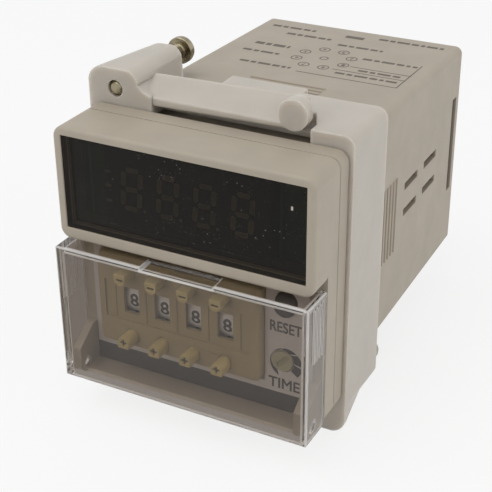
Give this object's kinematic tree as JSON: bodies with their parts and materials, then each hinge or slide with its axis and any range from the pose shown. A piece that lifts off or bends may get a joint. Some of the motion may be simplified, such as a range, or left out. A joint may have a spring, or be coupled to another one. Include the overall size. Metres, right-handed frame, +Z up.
{
  "type": "panel counter",
  "caption": "Square panel-mount preset counter with smoked display, thumbwheel switch under a hinged clear cover, octal plug at the rear and a sliding clamp bracket.",
  "frame": {"origin": "centre of the panel seat, the rear face of the case flange", "axes": "+X to the right seen from the front, +Y from the front to the rear, +Z up"},
  "size_m": [0.0496, 0.0906, 0.0614],
  "materials": {
    "case_plastic": "fine moulded texture",
    "bezel_plastic": "fine moulded texture",
    "smoked_window": "polished",
    "clear_cover": "clear moulding",
    "plate_sheet": "satin print",
    "switch_khaki": "fine moulded texture",
    "key_khaki": "satin",
    "wheel_white": "satin",
    "axle_steel": "drawn",
    "reset_dark": "satin",
    "rotor_green": "satin",
    "bracket_white": "milky",
    "screw_plated": "plated",
    "plug_dark": "satin",
    "pin_nickel": "plated",
    "board_green": "solder mask",
    "numeral_dark": "satin",
    "part_black": "satin",
    "core_steel": "varnished",
    "can_sleeve": "sleeved"
  },
  "bodies": {
    "base": {"case": "case_plastic", "front_bezel": "bezel_plastic", "display_window": "smoked_window", "name_plate": "plate_sheet", "switch_housing": "switch_khaki", "wheel_axle": "axle_steel", "plug_base": "plug_dark", "contact_pins": "pin_nickel", "switch_board": "board_green", "display_board": "board_green", "led_digits": "numeral_dark", "control_board": "board_green", "reset_switch": "part_black", "trimmer_body": "part_black", "logic_board": "board_green", "controller_chip": "part_black", "relay": "part_black", "power_board": "board_green", "transformer": "core_steel", "capacitors": "can_sleeve"},
    "bracket": {"mounting_bracket": "bracket_white"},
    "screw_top": {"clamp_screw_top": "screw_plated"},
    "screw_bottom": {"clamp_screw_bottom": "screw_plated"},
    "cover": {"front_cover": "clear_cover"},
    "reset_key": {"reset_button": "reset_dark"},
    "time_rotor": {"time_adjuster": "rotor_green"},
    "wheel_1": {"digit_wheel_1": "wheel_white"},
    "minus_key_1": {"minus_button_1": "key_khaki"},
    "plus_key_1": {"plus_button_1": "key_khaki"},
    "wheel_2": {"digit_wheel_2": "wheel_white"},
    "minus_key_2": {"minus_button_2": "key_khaki"},
    "plus_key_2": {"plus_button_2": "key_khaki"},
    "wheel_3": {"digit_wheel_3": "wheel_white"},
    "minus_key_3": {"minus_button_3": "key_khaki"},
    "plus_key_3": {"plus_button_3": "key_khaki"},
    "wheel_4": {"digit_wheel_4": "wheel_white"},
    "minus_key_4": {"minus_button_4": "key_khaki"},
    "plus_key_4": {"plus_button_4": "key_khaki"}
  },
  "joints": [
    {"name": "cover_hinge", "type": "hinge", "parent": "base", "child": "cover", "pos_m": [0, -0.0109, -0.0219], "axis": [1, 0, 0], "range_deg": [0, 90]},
    {"name": "bracket_slide", "type": "slide", "parent": "base", "child": "bracket", "axis": [0, 1, 0], "range_m": [0, 0.045]},
    {"name": "screw_top_feed", "type": "slide", "parent": "bracket", "child": "screw_top", "axis": [0, -1, 0], "range_m": [-0.01, 0.006]},
    {"name": "screw_bottom_feed", "type": "slide", "parent": "bracket", "child": "screw_bottom", "axis": [0, -1, 0], "range_m": [-0.01, 0.006]},
    {"name": "reset_press", "type": "slide", "parent": "base", "child": "reset_key", "axis": [0, 1, 0], "range_m": [0, 0.0008], "stiffness_N_per_m": 800, "springref_m": -0.0006},
    {"name": "time_turn", "type": "hinge", "parent": "base", "child": "time_rotor", "pos_m": [0.0164, -0.0071, -0.0129], "axis": [0, 1, 0], "range_deg": [-135, 135]},
    {"name": "wheel_turn_1", "type": "hinge", "parent": "base", "child": "wheel_1", "pos_m": [-0.0124, -0.0026, -0.0085], "axis": [1, 0, 0], "continuous": true},
    {"name": "minus_press_1", "type": "slide", "parent": "base", "child": "minus_key_1", "axis": [0, 1, 0], "range_m": [0, 0.0012], "stiffness_N_per_m": 400, "springref_m": -0.0008},
    {"name": "plus_press_1", "type": "slide", "parent": "base", "child": "plus_key_1", "axis": [0, 1, 0], "range_m": [0, 0.0012], "stiffness_N_per_m": 400, "springref_m": -0.0008},
    {"name": "wheel_turn_2", "type": "hinge", "parent": "base", "child": "wheel_2", "pos_m": [-0.0062, -0.0026, -0.0085], "axis": [1, 0, 0], "continuous": true},
    {"name": "minus_press_2", "type": "slide", "parent": "base", "child": "minus_key_2", "axis": [0, 1, 0], "range_m": [0, 0.0012], "stiffness_N_per_m": 400, "springref_m": -0.0008},
    {"name": "plus_press_2", "type": "slide", "parent": "base", "child": "plus_key_2", "axis": [0, 1, 0], "range_m": [0, 0.0012], "stiffness_N_per_m": 400, "springref_m": -0.0008},
    {"name": "wheel_turn_3", "type": "hinge", "parent": "base", "child": "wheel_3", "pos_m": [0, -0.0026, -0.0085], "axis": [1, 0, 0], "continuous": true},
    {"name": "minus_press_3", "type": "slide", "parent": "base", "child": "minus_key_3", "axis": [0, 1, 0], "range_m": [0, 0.0012], "stiffness_N_per_m": 400, "springref_m": -0.0008},
    {"name": "plus_press_3", "type": "slide", "parent": "base", "child": "plus_key_3", "axis": [0, 1, 0], "range_m": [0, 0.0012], "stiffness_N_per_m": 400, "springref_m": -0.0008},
    {"name": "wheel_turn_4", "type": "hinge", "parent": "base", "child": "wheel_4", "pos_m": [0.0062, -0.0026, -0.0085], "axis": [1, 0, 0], "continuous": true},
    {"name": "minus_press_4", "type": "slide", "parent": "base", "child": "minus_key_4", "axis": [0, 1, 0], "range_m": [0, 0.0012], "stiffness_N_per_m": 400, "springref_m": -0.0008},
    {"name": "plus_press_4", "type": "slide", "parent": "base", "child": "plus_key_4", "axis": [0, 1, 0], "range_m": [0, 0.0012], "stiffness_N_per_m": 400, "springref_m": -0.0008}
  ]
}
